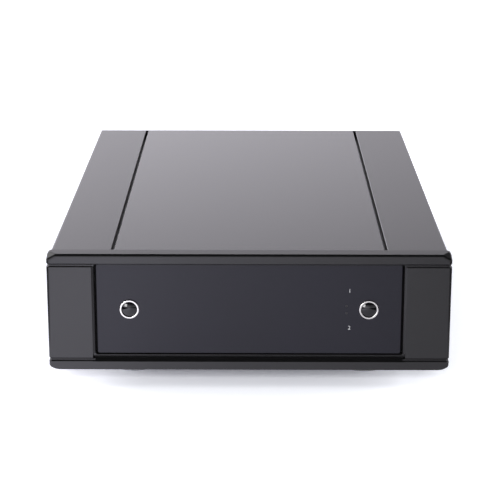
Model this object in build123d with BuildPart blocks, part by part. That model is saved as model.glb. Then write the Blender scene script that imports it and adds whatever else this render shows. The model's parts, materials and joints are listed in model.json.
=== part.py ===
"""Phono preamp: a half-width hi-fi box, assembled from separate pieces.

Millimetres. +Z is up and the front faces -Y. The origin is on the surface that the box stands on,
under the middle of the box, connectors at the rear included.
"""
from build123d import *
from math import cos, radians, sin, tan
import os

os.makedirs("parts", exist_ok=True)

# --- driving dimensions -------------------------------------------------------------------------
# front bezel
bezel_width = 216.0
bezel_height = 64.65
bezel_depth = 9.6
bezel_corner_radius = 2.0       # along the upper side edges
corner_cut_side = 5.6           # clipped upper corners, along the front edge
corner_cut_back = 8.5           # along the side edges
corner_cut_drop = 3.0           # down the upright edges
bezel_chin_width = 5.6          # lower corners, a shallow bevel
bezel_chin_height = 2.4
bezel_chin_radius = 9.0
bezel_edge_radius = 1.5         # upper front edge, upright corners and clipped corners
channel_low = 5.35              # lower parting channel, middle above the bezel's foot
channel_high_drop = 6.35        # upper parting channel, middle under the bezel's top
channel_width = 1.15
channel_depth = 1.2
channel_bevel = 0.15            # lower lip of each channel
channel_brow = 0.75             # bevel of its upper lip
cheek_width = 25.0              # from the bezel's side to the aperture
aperture_depth = 6.0
aperture_foot = 7.9
aperture_radius = 1.2
cheek_bevel = 1.2               # inner edges of the two cheeks
ledge_bevel = 1.7               # slope under the front panel
ledge_drop = 3.4                # its lower edge, under the aperture's foot
ledge_lip = 2.0                 # thin lip over the slope, behind the front face
ledge_lip_thickness = 0.25
ledge_undercut = 1.6            # shadow groove under the lip

# cover, tray and rear panel
case_inset = 1.55               # cover's and tray's sides, inside the bezel's
case_length = 307.4             # from the bezel's back to the cover's rear edge
cover_drop = 0.6                # how far the cover's top lies under the bezel's
cover_wall = 2.5
cover_edge_radius = 1.0
groove_side = 32.9              # grooves' middle, from the cover's sides
groove_width = 1.75
groove_depth = 4.0
groove_bevel = 0.2
groove_wall = 1.5               # of the ribs that back the grooves
groove_stop = 1.0               # left closed at the cover's rear edge
rail_width = 8.0                # screw rails inside the cover's four corners
rail_height = 7.0
tray_plate = 3.0
tray_bulkhead = 2.5
tray_edge_bevel = 0.8
rear_panel_thickness = 2.0
rear_panel_inset = 2.0
bulkhead_side_gap = 1.2         # beside the cover's rails
bulkhead_gap = 1.0              # under the ribs of the cover
bezel_screw_inset = 5.0         # from the bulkhead's sides
bezel_screw_z = (16.0, 50.0)
bezel_screw_depth = 6.0
rail_screw_depth = 8.0
cover_screw_inset = 26.0        # first and last cover screws, from the cover's ends
vent_width = 3.0
vent_length = 40.0
vent_pitch = 8.0
vent_count = 7
rear_panel_gap = 0.3            # round the rear panel, inside the cover and its ribs

# front panel and buttons
panel_gap = 1.2                 # beside the panel
panel_foot_gap = 0.5
panel_head_gap = 0.4
panel_thickness = 3.0
panel_corner = 1.0
button_side = 17.5              # buttons' middle, from the panel's sides
button_z = 33.4
ring_diameter = 10.5
ring_lip = 1.0
ring_round = 0.4
ring_barrel = 9.4
button_diameter = 8.1
button_dome = 1.1
button_recess = 0.5             # from the ring's front to the edge of the dome
button_shoulder = 11.0
button_shoulder_thickness = 1.0
button_stem = 4.0
button_travel = 2.0
spring_wire = 0.5
spring_coil = 6.6               # mean diameter
spring_turns = 3
panel_edge_bevel = 0.15
ring_length = 5.4               # barrel behind the panel's face
stem_engagement = 3.0
stem_end_gap = 0.5
switch_width = 12.0
switch_depth = 8.0
switch_round = 0.8
switch_pin = 1.0
switch_pin_pitch = 5.0
shoulder_gap = 1.0
light_pipe_diameter = 2.6
window_offset = 12.0            # indicator windows, inwards of the selector button
window_rise = (1.9, -2.1)       # over its middle
window_diameter = 1.2

# feet
foot_height = 11.0
foot_diameter = 30.0
foot_side = 42.2                # feet's middle, from the case's sides
foot_inset = 41.4               # from the bezel's front face, and from the cover's rear edge
foot_round = 2.0
foot_well = 7.0                 # depth of the counterbore for the foot's screw
foot_well_diameter = 9.0

# control board behind the bulkhead
control_spacing = 12.0          # bulkhead to board
control_margin = 10.7           # control board, outside the buttons
control_height = 30.0
board_thickness = 1.6
solder_stub = 1.0
spacer_offset = 20.3            # inwards of the buttons
spacer_rise = (-10.5, 10.5)     # over the buttons' middle
spacer_width = 5.0
led_diameter = 3.0
led_height = 5.0
light_pipe_gap = 0.3

# toroidal transformer
winding_side_gap = 12.2         # to the cover's left wall
transformer_depth = 100.0       # middle, behind the bezel's front face
winding_inner = 14.0
winding_outer = 42.0
winding_height = 34.0
winding_round = 8.0
pad_thickness = 1.5
clamp_diameter = 74.0
clamp_thickness = 2.0
bolt_diameter = 6.0
bolt_head = 10.0
bolt_head_height = 3.0
bolt_nut_width = 10.0
bolt_nut_height = 5.0

# main board
board_side_gap = 4.2            # right edge to the cover's rails
board_front_gap = 6.0           # behind the transformer
board_rear_gap = 5.0            # in front of the rear panel
board_width = 126.0
board_height = 8.0              # over the tray's plate
standoff_width = 6.0
board_screw_inset = 6.0
board_screw_rear_inset = 20.0
# components on the board: the first one's place, from the board's left and front edges, and pitches
smoothing_first = (79.0, 25.0)
smoothing_pitch = (26.0, 26.0)
smoothing_count = (2, 2)
coupling_first = (100.0, 67.5)
coupling_pitch = (12.0, 11.0)
coupling_columns = 2
film_first = (48.0, 74.0)
film_pitch = (12.0, 24.0)
film_columns = 4
transistor_first = (26.0, 60.0)
transistor_pitch = (10.0, 10.0)
transistor_columns = 2
bridge_first = (38.0, 30.0)
rear_row_inset = 34.0           # relays and amplifier chips, from the board's rear edge
relay_first_x = 20.0
relay_pitch = 14.0
relay_count = 2
chip_first_x = 52.0
chip_pitch = 16.0
chip_count = 4
main_capacitor_diameter = 22.0
main_capacitor_height = 32.0
small_capacitor_diameter = 8.0
small_capacitor_height = 12.0
film_length = 18.0
film_width = 7.0
film_height = 14.0
film_round = 0.8
relay_length = 20.0
relay_width = 10.0
relay_height = 10.5
chip_length = 9.8
chip_width = 6.6
chip_height = 3.6
transistor_diameter = 4.8
transistor_height = 5.0
transistor_leg = 3.0
bridge_length = 20.0
bridge_width = 4.0
bridge_height = 14.0
sink_length = 60.0
sink_plate = 3.0
sink_height = 30.0
fin_depth = 9.0
fin_thickness = 1.5
fin_count = 9
regulator_width = 10.0
regulator_height = 15.0
regulator_thickness = 4.5
header_height = 9.0
header_depth = 6.0
header_setback = 10.0           # headers' middle, behind the board's front edge
header_margin = 2.0
power_header_inset = 22.0       # from the board's left edge
lead_pitch = 4.0
lead_exit = 10.0
secondary_angle = 50.0
secondary_spread = 8.0
mains_angles = (118.0, 108.0)
mains_sag = 10.0                # of the mains leads, under a straight run
mains_shares = (0.25, 0.6)      # where they hang, along that run
transistor_leg_width = 0.6
sink_inset = 11.5
sink_setback = 30.0
regulator_leg = 8.0
regulator_leg_pitch = 2.5
regulator_leg_width = 0.8
ribbon_inset = 62.0
ribbon_sag = 10.0
ribbon_width = 12.7
ribbon_thickness = 1.0
ribbon_bend = 7.0
lead_diameter = 2.2

# rear connectors
inlet_side = 28.2               # middle, from the cover's left wall
inlet_z = 33.0
inlet_flange_width = 31.0
inlet_flange_height = 38.0
inlet_flange_thickness = 3.0
inlet_corner = 3.0
inlet_edge_bevel = 0.6
cutout_gap = 0.3                # round the inlet's body
inlet_body_width = 27.0
inlet_body_height = 34.0
inlet_floor = 3.0
cavity_width = 24.2
cavity_height = 16.4
cavity_bevel = 4.5
cavity_depth = 18.0
cavity_rise = 8.0               # cavity's middle over the inlet's middle
blade_width = 2.0
blade_height = 4.0
blade_length = 12.5
blade_pitch = 7.0
blade_rise = 2.0                # middle blade over the outer two
tab_length = 8.0
drawer_drop = 10.4              # drawer's middle under the inlet's middle
drawer_width = 22.0
drawer_height = 7.6
drawer_depth = 17.0
drawer_lip = 1.0
drawer_face = 1.5
drawer_gap = 0.2
drawer_ridge = 1.0
fuse_length = 20.0
fuse_diameter = 5.2
fuse_cap = 5.0
fuse_gap = 0.2
socket_insets = (68.0, 30.0, 8.0)       # output, input 2 and input 1, from the board's right edge
socket_rows = (23.0, 41.0)
socket_diameter = 8.3
socket_wall = 0.7
socket_reach = 9.0
socket_flange = 11.2
socket_flange_thickness = 1.2
socket_stub = 3.0
socket_bore = 3.2
socket_bore_depth = 11.0
insert_setback = 0.8
block_width = 13.0
block_depth = 14.0
block_top = 52.0
block_bevel = 4.0
post_reach = 18.0               # ground post, from the rear panel's outer face
post_inset = 49.0               # from the board's right edge
post_z = 30.0
post_diameter = 4.0
post_tail = 8.0
post_nut_width = 7.0
post_nut_height = 3.2
post_bush_diameter = 12.0
post_bush_thickness = 2.0
post_washer_diameter = 9.0
post_washer_thickness = 1.0
thumb_diameter = 10.5
thumb_length = 7.5
thumb_flutes = 18
thumb_flute = 0.9
thumb_collar = 2.0              # plain neck of the thumb nut, next to its washer
load_switch_insets = (14.0, 32.0)       # from the board's left edge
load_switch_width = 8.4
load_switch_depth = 7.0
load_switch_top = 36.0
slider_z = 22.0                 # foot of the slider's knob, in its lowest place
slider_width = 3.0
slider_height = 3.0
slider_reach = 2.5
slider_sink = 2.0               # into the switch's body
slider_travel = 4.0
slider_gap = 0.2
slider_slot_gap = 0.5
slider_bevel = 0.4

# clearances and fasteners
slip = 0.08                     # radial, round pieces that slide or turn
seat = 0.05                     # radial, round pieces pushed into a hole
bolt_slack = 0.15               # radial, screw in a hole
screw_diameter = 3.0
screw_head = 5.6
screw_head_height = 2.0
screw_drive = 2.0               # across the flats of the socket
screw_drive_depth = 1.2
nut_width = 5.5
nut_height = 2.4
hole_floor = 1.0                # left under a blind screw hole, or past a screw's end
nut_showing = 0.6               # thread past the nut

# --- places worked out from them ----------------------------------------------------------------
front = -(bezel_depth + case_length - rear_panel_inset + post_reach) / 2
case_width = bezel_width - 2 * case_inset
aperture_width = bezel_width - 2 * cheek_width
channel_high = bezel_height - channel_high_drop
panel_width = aperture_width - 2 * panel_gap
panel_foot = aperture_foot + panel_foot_gap
panel_head = channel_high + channel_width / 2 - panel_head_gap
case_front = front + bezel_depth
case_rear = case_front + case_length
base = foot_height
bezel_top = base + bezel_height
cover_top = bezel_top - cover_drop
cover_foot = base + channel_low + channel_width / 2
tray_side_top = base + channel_low - channel_width / 2
plate_top = base + tray_plate
inner_half = case_width / 2 - cover_wall
inner_top = cover_top - cover_wall
rail_x = inner_half - rail_width / 2
groove_x = case_width / 2 - groove_side
rib_width = groove_width + 2 * groove_wall
rib_foot = cover_top - groove_depth - groove_wall
bulkhead_back = case_front + tray_bulkhead
bulkhead_half = inner_half - rail_width - bulkhead_side_gap
web_front = front + aperture_depth
panel_front = web_front - panel_thickness
rear_face = case_rear - rear_panel_inset
rear_inner = rear_face - rear_panel_thickness
button_height = base + button_z
button_x = panel_width / 2 - button_side
window_x = button_x - window_offset
window_spots = [(window_x, button_height + rise) for rise in window_rise]
control_width = 2 * (button_x + control_margin)
transformer_x = winding_side_gap + winding_outer - inner_half
transformer_y = front + transformer_depth
board_right = inner_half - rail_width - board_side_gap
board_left = board_right - board_width
board_front = transformer_y + winding_outer + board_front_gap
board_rear = rear_inner - board_rear_gap
board_length = board_rear - board_front
board_foot = plate_top + board_height
board_top = board_foot + board_thickness
power_header_x = board_left + power_header_inset
ribbon_x = board_left + ribbon_inset
sink_x = board_left + sink_inset
transformer_bolt_spot = [(transformer_x, transformer_y)]
vent_middles = [((board_left + board_right) / 2, (board_front + board_rear) / 2),
                ((board_left + board_right) / 2, transformer_y)]
inlet_x = inlet_side - inner_half
inlet_height = base + inlet_z
cavity_middle = inlet_height + cavity_rise
drawer_middle = inlet_height - drawer_drop
inlet_back = rear_face + inlet_flange_thickness - cavity_depth - inlet_floor
cavity_floor = inlet_back + inlet_floor
tab_front = inlet_back - tab_length
outer_blade_z = cavity_middle - blade_rise / 2
socket_columns = [board_right - inset for inset in socket_insets]
post_x = board_right - post_inset
load_switch_x = [board_left + inset for inset in load_switch_insets]
post_front = rear_inner - post_tail
screw_hole = screw_diameter / 2 + bolt_slack
spacer_spots = [(side * (button_x - spacer_offset), button_height + rise)
                for side in (-1, 1) for rise in spacer_rise]
board_screw_spots = [(x, y) for x in (board_left + board_screw_inset, board_right - board_screw_inset)
                     for y in (board_front + board_screw_inset, board_rear - board_screw_rear_inset)]
bezel_screw_spots = [(side * (bulkhead_half - bezel_screw_inset), base + z)
                     for side in (-1, 1) for z in bezel_screw_z]
rear_screw_spots = [(side * rail_x, z) for side in (-1, 1)
                    for z in (cover_foot + rail_height / 2, inner_top - rail_height / 2)]
cover_screw_y = (case_front + cover_screw_inset, (case_front + case_rear) / 2, case_rear - cover_screw_inset)
cover_screw_spots = [(side * rail_x, y) for side in (-1, 1) for y in cover_screw_y]
foot_spots = [(side * (case_width / 2 - foot_side), y)
              for side in (-1, 1) for y in (front + foot_inset, case_rear - foot_inset)]


def facing(y):
    """Plane at depth y that faces the front: a positive extrusion comes forward."""
    return Plane.XZ.offset(-y)


def save(piece, label):
    piece.part.label = label
    export_step(piece.part, f"parts/{label}.step")


# --- front bezel --------------------------------------------------------------------------------
with BuildPart() as front_bezel:
    with BuildSketch(facing(case_front)):
        with BuildLine():
            half = bezel_width / 2
            low = base + bezel_chin_height
            high = bezel_top - bezel_corner_radius
            foot_line = Line((0, base), (half - bezel_chin_width, base))
            chin = RadiusArc(foot_line @ 1, (half, low), -bezel_chin_radius)
            Line(chin @ 1, (half, high))
            shoulder = CenterArc((half - bezel_corner_radius, high), bezel_corner_radius, 0, 90)
            Line(shoulder @ 1, (0, bezel_top))
            mirror(about=Plane.YZ)
        make_face()
    extrude(amount=bezel_depth)
    # clipped upper corners, then one soft edge along the top, round the clips and down the sides
    for side in (-1, 1):
        clip = Plane(origin=(side * half, front, bezel_top - corner_cut_drop),
                     z_dir=(side / corner_cut_side, -1 / corner_cut_back, 1 / corner_cut_drop))
        split(bisect_by=clip, keep=Keep.BOTTOM)
    front_edges = front_bezel.edges().filter_by_position(Axis.Y, front - 0.01, front + 0.01)
    crown = front_edges.filter_by_position(Axis.Z, bezel_top - corner_cut_drop, bezel_top + 0.01)
    clips = front_bezel.faces().filter_by(lambda f: min(abs(n) for n in f.normal_at()) > 0.1)
    clip_edges = clips.edges().filter_by_position(Axis.Y, front + 0.02, case_front - 0.02)
    fillet(crown + front_edges.filter_by(Axis.Z) + clip_edges, bezel_edge_radius)

    # aperture for the front panel, down to the web that carries the panel
    with BuildSketch(facing(web_front)) as aperture:
        with Locations((0, base + aperture_foot)):
            Rectangle(aperture_width, channel_high + channel_width / 2 - aperture_foot,
                      align=(Align.CENTER, Align.MIN))
        fillet(aperture.vertices(), aperture_radius)
    extrude(amount=aperture_depth, mode=Mode.SUBTRACT)

    # slope and lip under the panel, with a shadow groove between them, and the bevels of the cheeks
    with BuildSketch(Plane.YZ.offset(-aperture_width / 2 - cheek_bevel)):
        with BuildLine():
            slope_foot = base + aperture_foot - ledge_drop
            slope_head = slope_foot + ledge_bevel
            lip_foot = base + aperture_foot - ledge_lip_thickness
            Polyline((front, slope_foot),
                     (front + ledge_bevel, slope_head),
                     (front + ledge_lip + ledge_undercut, slope_head),
                     (front + ledge_lip + ledge_undercut, lip_foot),
                     (front + ledge_lip, lip_foot),
                     (front + ledge_lip, base + aperture_foot + aperture_radius),
                     (front, base + aperture_foot + aperture_radius),
                     (front, slope_foot))
        make_face()
    extrude(amount=aperture_width + 2 * cheek_bevel, mode=Mode.SUBTRACT)
    for side in (-1, 1):
        with BuildSketch(Plane.XY.offset(base + channel_low + channel_width / 2)):
            with BuildLine():
                Polyline((side * (aperture_width / 2 + cheek_bevel), front),
                         (side * aperture_width / 2, front + cheek_bevel),
                         (side * (aperture_width / 2 - aperture_radius), front + cheek_bevel),
                         (side * (aperture_width / 2 - aperture_radius), front),
                         (side * (aperture_width / 2 + cheek_bevel), front))
            make_face()
        extrude(amount=channel_high - channel_low, mode=Mode.SUBTRACT)

    # parting channels across each cheek and round the sides
    for middle in (channel_low, channel_high):
        for side in (-1, 1):
            with BuildSketch(Plane.XY.offset(base + middle - channel_width / 2)):
                with BuildLine():
                    Polyline((side * aperture_width / 2, front),
                             (side * half, front),
                             (side * half, case_front),
                             (side * (half - channel_depth), case_front),
                             (side * (half - channel_depth), front + channel_depth),
                             (side * aperture_width / 2, front + channel_depth),
                             (side * aperture_width / 2, front))
                make_face()
            extrude(amount=channel_width, mode=Mode.SUBTRACT)

    # bevels along the channels' lips, and along the top bar over the panel
    for middle in (channel_low, channel_high):
        for z, bevel in ((base + middle - channel_width / 2, channel_bevel),
                         (base + middle + channel_width / 2, channel_brow)):
            level = front_bezel.edges().filter_by_position(Axis.Z, z - 0.01, z + 0.01)
            rims = level.filter_by_position(Axis.Y, front - 0.01, front + 0.01).filter_by(Axis.X)
            chamfer(rims, bevel)

    # holes for the buttons, the windows and the screws from behind
    with BuildSketch(facing(case_front)):
        with Locations((-button_x, button_height), (button_x, button_height)):
            Circle(ring_barrel / 2 + seat)
        with Locations(*window_spots):
            Circle(window_diameter / 2 + seat)
    extrude(amount=bezel_depth, mode=Mode.SUBTRACT)
    with BuildSketch(facing(case_front)):
        with Locations(*bezel_screw_spots):
            Circle(screw_hole)
    extrude(amount=bezel_screw_depth, mode=Mode.SUBTRACT)
save(front_bezel, "front_bezel")

# --- front panel --------------------------------------------------------------------------------
with BuildPart() as front_panel:
    with BuildSketch(facing(web_front)) as face:
        with Locations((0, base + panel_foot)):
            Rectangle(panel_width, panel_head - panel_foot, align=(Align.CENTER, Align.MIN))
        fillet(face.vertices(), panel_corner)
        with Locations((-button_x, button_height), (button_x, button_height)):
            Circle(ring_barrel / 2 + seat, mode=Mode.SUBTRACT)
        with Locations(*window_spots):
            Circle(window_diameter / 2 + seat, mode=Mode.SUBTRACT)
    extrude(amount=panel_thickness)
    rim = front_panel.faces().sort_by(Axis.Y)[0].outer_wire().edges()
    chamfer(rim, panel_edge_bevel)
save(front_panel, "front_panel")

# --- buttons with their rings, springs and switches ---------------------------------------------
button_radius = button_diameter / 2
dome_edge = panel_front - ring_lip + button_recess
shoulder_back = case_front + button_shoulder_thickness
control_front = bulkhead_back + control_spacing
switch_front = control_front - switch_depth
stem_back = switch_front + stem_engagement
for name, x in (("power", -button_x), ("selector", button_x)):
    with BuildPart() as ring:
        with BuildSketch(facing(panel_front)):
            with Locations((x, button_height)):
                Circle(ring_diameter / 2)
        extrude(amount=ring_lip)
        with BuildSketch(facing(panel_front)):
            with Locations((x, button_height)):
                Circle(ring_barrel / 2)
        extrude(amount=-ring_length)
        with BuildSketch(facing(panel_front + ring_length)):
            with Locations((x, button_height)):
                Circle(button_radius + slip)
        extrude(amount=ring_length + ring_lip, mode=Mode.SUBTRACT)
        fillet(ring.faces().sort_by(Axis.Y)[0].edges(), ring_round)
    save(ring, f"{name}_ring")

    with BuildPart() as button:
        with BuildSketch(Plane.XY.offset(button_height)):
            with BuildLine():
                dome = TangentArc((x, dome_edge - button_dome), (x + button_radius, dome_edge),
                                  tangent=(1, 0))
                Polyline(dome @ 1,
                         (x + button_radius, case_front),
                         (x + button_shoulder / 2, case_front),
                         (x + button_shoulder / 2, shoulder_back),
                         (x + button_stem / 2, shoulder_back),
                         (x + button_stem / 2, stem_back),
                         (x, stem_back),
                         dome @ 0)
            make_face()
        revolve(axis=Axis((x, 0, button_height), (0, 1, 0)))
    save(button, f"{name}_button")

    with BuildPart() as spring:
        with BuildLine() as coil:
            reach = switch_front - shoulder_back - spring_wire - 2 * seat
            Helix(pitch=reach / spring_turns, height=reach, radius=spring_coil / 2,
                  center=(x, shoulder_back + spring_wire / 2 + seat, button_height), direction=(0, 1, 0))
        with BuildSketch(Plane(origin=coil.line @ 0, z_dir=coil.line % 0)):
            Circle(spring_wire / 2)
        sweep(path=coil.line, is_frenet=True)
    save(spring, f"{name}_spring")

with BuildPart() as push_switches:
    spots = [(-button_x, button_height), (button_x, button_height)]
    with BuildSketch(facing(control_front)) as body:
        with Locations(*spots):
            Rectangle(switch_width, switch_width)
        fillet(body.vertices(), switch_round)
    extrude(amount=switch_depth)
    with BuildSketch(facing(stem_back + button_travel + stem_end_gap)):
        with Locations(*spots):
            Circle(button_stem / 2 + slip)
    extrude(amount=switch_depth, mode=Mode.SUBTRACT)
    with BuildSketch(facing(control_front)):
        with Locations(*spots):
            with GridLocations(switch_pin_pitch, switch_width - switch_pin, 2, 2):
                Rectangle(switch_pin, switch_pin / 2)
    extrude(amount=-(board_thickness + solder_stub))
save(push_switches, "push_switches")

# --- cover: an extruded sleeve, open below ------------------------------------------------------
with BuildPart() as top_cover:
    with BuildSketch(facing(case_rear)) as section:
        with Locations((0, cover_foot)):
            Rectangle(case_width, cover_top - cover_foot, align=(Align.CENTER, Align.MIN))
        fillet(section.vertices().group_by(Axis.Y)[-1], cover_edge_radius)
        with Locations((0, cover_foot)):
            Rectangle(2 * inner_half, inner_top - cover_foot, align=(Align.CENTER, Align.MIN),
                      mode=Mode.SUBTRACT)
        with Locations((-rail_x, cover_foot), (rail_x, cover_foot),
                       (-rail_x, inner_top - rail_height), (rail_x, inner_top - rail_height)):
            Rectangle(rail_width, rail_height, align=(Align.CENTER, Align.MIN))
        with Locations((-groove_x, rib_foot), (groove_x, rib_foot)):
            Rectangle(rib_width, inner_top - rib_foot, align=(Align.CENTER, Align.MIN))
        with Locations((-case_width / 2, base + channel_high), (case_width / 2, base + channel_high)):
            Rectangle(2 * channel_depth, channel_width, mode=Mode.SUBTRACT)
    extrude(amount=case_length)
    # grooves along the top, with bevelled lips
    for side in (-1, 1):
        with BuildSketch(facing(case_rear - groove_stop)):
            with BuildLine():
                inner = side * groove_x - groove_width / 2
                outer = side * groove_x + groove_width / 2
                Polyline((inner - groove_bevel, cover_top),
                         (inner, cover_top - groove_bevel),
                         (inner, cover_top - groove_depth),
                         (outer, cover_top - groove_depth),
                         (outer, cover_top - groove_bevel),
                         (outer + groove_bevel, cover_top),
                         (inner - groove_bevel, cover_top))
            make_face()
        extrude(amount=case_length - groove_stop, mode=Mode.SUBTRACT)
    with BuildSketch(facing(case_rear)):
        with Locations((0, cover_foot)):
            Rectangle(2 * inner_half, inner_top - cover_foot, align=(Align.CENTER, Align.MIN))
        with Locations((-groove_x, inner_top), (groove_x, inner_top)):
            Rectangle(rib_width, 2 * (inner_top - rib_foot), mode=Mode.SUBTRACT)
    extrude(amount=case_rear - rear_inner, mode=Mode.SUBTRACT)
    with BuildSketch(facing(rear_inner)):
        with Locations(*rear_screw_spots):
            Circle(screw_hole)
    extrude(amount=rail_screw_depth, mode=Mode.SUBTRACT)
    with BuildSketch(Plane.XY.offset(cover_foot)):
        with Locations(*cover_screw_spots):
            Circle(screw_hole)
    extrude(amount=rail_height - hole_floor, mode=Mode.SUBTRACT)
save(top_cover, "top_cover")

# --- base tray: plate, edge bars that carry the cover, and the bulkhead behind the bezel ----------
with BuildPart() as base_tray:
    with BuildSketch(facing(case_rear)) as section:
        with Locations((0, base)):
            Rectangle(case_width, tray_side_top - base, align=(Align.CENTER, Align.MIN))
        chamfer(section.vertices().group_by(Axis.Y)[0], tray_edge_bevel)
        with Locations((0, tray_side_top)):
            Rectangle(case_width - 2 * channel_depth, cover_foot - tray_side_top,
                      align=(Align.CENTER, Align.MIN))
        with Locations((0, plate_top)):
            Rectangle(2 * (inner_half - rail_width), cover_foot - plate_top, align=(Align.CENTER, Align.MIN),
                      mode=Mode.SUBTRACT)
    extrude(amount=case_length)
    with BuildSketch(facing(case_rear)):
        with Locations((0, plate_top)):
            Rectangle(2 * inner_half, cover_foot - plate_top, align=(Align.CENTER, Align.MIN))
    extrude(amount=case_rear - rear_inner, mode=Mode.SUBTRACT)
    with BuildSketch(facing(bulkhead_back)):
        with Locations((0, plate_top)):
            Rectangle(2 * bulkhead_half, rib_foot - bulkhead_gap - plate_top,
                      align=(Align.CENTER, Align.MIN))
        with Locations((-button_x, button_height), (button_x, button_height)):
            Circle(button_shoulder / 2 + shoulder_gap, mode=Mode.SUBTRACT)
        with Locations(*window_spots):
            Circle(light_pipe_diameter / 2 + seat, mode=Mode.SUBTRACT)
        with Locations(*bezel_screw_spots, *spacer_spots):
            Circle(screw_hole, mode=Mode.SUBTRACT)
    extrude(amount=tray_bulkhead)
    # vents under the board and under the transformer
    with BuildSketch(Plane.XY.offset(base)):
        for middle in vent_middles:
            with Locations(middle):
                with GridLocations(vent_pitch, 0, vent_count, 1):
                    SlotOverall(vent_length, vent_width, rotation=90)
        with Locations(*foot_spots):
            Circle(screw_hole)
        with Locations(*transformer_bolt_spot):
            Circle(bolt_diameter / 2 + bolt_slack)
    extrude(amount=tray_plate, mode=Mode.SUBTRACT)
    with BuildSketch(Plane.XY.offset(base)):
        with Locations(*cover_screw_spots):
            Circle(screw_hole)
    extrude(amount=cover_foot - base, mode=Mode.SUBTRACT)
    with BuildSketch(Plane.XY.offset(base)):
        with Locations(*cover_screw_spots):
            Circle(screw_head / 2 + bolt_slack)
    extrude(amount=screw_head_height, mode=Mode.SUBTRACT)
save(base_tray, "base_tray")

# --- feet ---------------------------------------------------------------------------------------
with BuildPart() as feet:
    with BuildSketch():
        with Locations(*foot_spots):
            Circle(foot_diameter / 2)
    extrude(amount=foot_height)
    fillet(feet.faces().group_by(Axis.Z)[0].edges(), foot_round)
    with BuildSketch():
        with Locations(*foot_spots):
            Circle(foot_well_diameter / 2)
    extrude(amount=foot_well, mode=Mode.SUBTRACT)
    with BuildSketch():
        with Locations(*foot_spots):
            Circle(screw_hole)
    extrude(amount=foot_height, mode=Mode.SUBTRACT)
save(feet, "feet")


def screw_set(label, spots, seat_plane, side, length, head=screw_head, drive=screw_drive):
    """Socket screws with heads on one side (1 or -1) of seat_plane and shanks on the other."""
    with BuildPart() as screws:
        with BuildSketch(seat_plane):
            with Locations(*spots):
                Circle(head / 2)
        extrude(amount=side * screw_head_height)
        with BuildSketch(seat_plane):
            with Locations(*spots):
                Circle(screw_diameter / 2)
        extrude(amount=-side * length)
        with BuildSketch(seat_plane.offset(side * screw_head_height)):
            with Locations(*spots):
                RegularPolygon(drive / 2, 6, major_radius=False)
        extrude(amount=-side * screw_drive_depth, mode=Mode.SUBTRACT)
    save(screws, label)


def nut_set(label, spots, seat_plane, height=nut_height):
    """Hexagon nuts standing on seat_plane."""
    with BuildPart() as nuts:
        with BuildSketch(seat_plane):
            with Locations(*spots):
                RegularPolygon(nut_width / 2, 6, major_radius=False)
                Circle(screw_hole, mode=Mode.SUBTRACT)
        extrude(amount=height)
    save(nuts, label)


screw_set("foot_screws", foot_spots, Plane.XY.offset(foot_well), -1,
          foot_height - foot_well + tray_plate + nut_height + nut_showing)
nut_set("foot_nuts", foot_spots, Plane.XY.offset(plate_top))
screw_set("cover_screws", cover_screw_spots, Plane.XY.offset(base + screw_head_height), -1,
          cover_foot - base - screw_head_height + rail_height - hole_floor - bolt_slack)
screw_set("bezel_screws", bezel_screw_spots, facing(bulkhead_back), -1,
          tray_bulkhead + bezel_screw_depth - bolt_slack)

# --- control board behind the bulkhead ----------------------------------------------------------
control_back = control_front + board_thickness
with BuildPart() as control_board:
    with BuildSketch(facing(control_back)):
        with Locations((0, button_height)):
            Rectangle(control_width, control_height)
        with Locations(*spacer_spots):
            Circle(screw_hole, mode=Mode.SUBTRACT)
        with Locations((-button_x, button_height), (button_x, button_height)):
            with GridLocations(switch_pin_pitch, switch_width - switch_pin, 2, 2):
                Rectangle(switch_pin + 2 * seat, switch_pin / 2 + 2 * seat, mode=Mode.SUBTRACT)
    extrude(amount=board_thickness)
save(control_board, "control_board")

with BuildPart() as control_spacers:
    with BuildSketch(facing(control_front)):
        with Locations(*spacer_spots):
            RegularPolygon(spacer_width / 2, 6, major_radius=False)
            Circle(screw_hole, mode=Mode.SUBTRACT)
    extrude(amount=control_spacing)
save(control_spacers, "control_spacers")
screw_set("control_screws", spacer_spots, facing(control_back), -1,
          board_thickness + control_spacing + tray_bulkhead, head=spacer_width)

led_front = control_front - led_height
with BuildPart() as indicator_leds:
    with BuildSketch(facing(control_front)):
        with Locations(*window_spots):
            Circle(led_diameter / 2)
    extrude(amount=led_height)
    fillet(indicator_leds.faces().group_by(Axis.Y)[0].edges(), led_diameter / 3)
save(indicator_leds, "indicator_leds")

with BuildPart() as light_pipes:
    with BuildSketch(facing(led_front - light_pipe_gap)):
        with Locations(*window_spots):
            Circle(light_pipe_diameter / 2)
    extrude(amount=led_front - light_pipe_gap - case_front)
    with BuildSketch(facing(case_front)):
        with Locations(*window_spots):
            Circle(window_diameter / 2)
    extrude(amount=case_front - panel_front)
save(light_pipes, "light_pipes")

# --- transformer --------------------------------------------------------------------------------
winding_foot = plate_top + pad_thickness
winding_top = winding_foot + winding_height
with BuildPart() as transformer_winding:
    with BuildSketch(Plane.XY.offset(winding_foot)):
        with Locations(*transformer_bolt_spot):
            Circle(winding_outer)
            Circle(winding_inner, mode=Mode.SUBTRACT)
    extrude(amount=winding_height)
    fillet(transformer_winding.edges().filter_by(GeomType.CIRCLE), winding_round)
save(transformer_winding, "transformer_winding")

with BuildPart() as transformer_pads:
    for foot, outer in ((plate_top, winding_outer), (winding_top, winding_outer - winding_round / 2)):
        with BuildSketch(Plane.XY.offset(foot)):
            with Locations(*transformer_bolt_spot):
                Circle(outer)
                Circle(bolt_diameter / 2 + bolt_slack, mode=Mode.SUBTRACT)
        extrude(amount=pad_thickness)
save(transformer_pads, "transformer_pads")

with BuildPart() as transformer_clamp:
    with BuildSketch(Plane.XY.offset(winding_top + pad_thickness)):
        with Locations(*transformer_bolt_spot):
            Circle(clamp_diameter / 2)
            Circle(bolt_diameter / 2 + bolt_slack, mode=Mode.SUBTRACT)
    extrude(amount=clamp_thickness)
save(transformer_clamp, "transformer_clamp")

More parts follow.
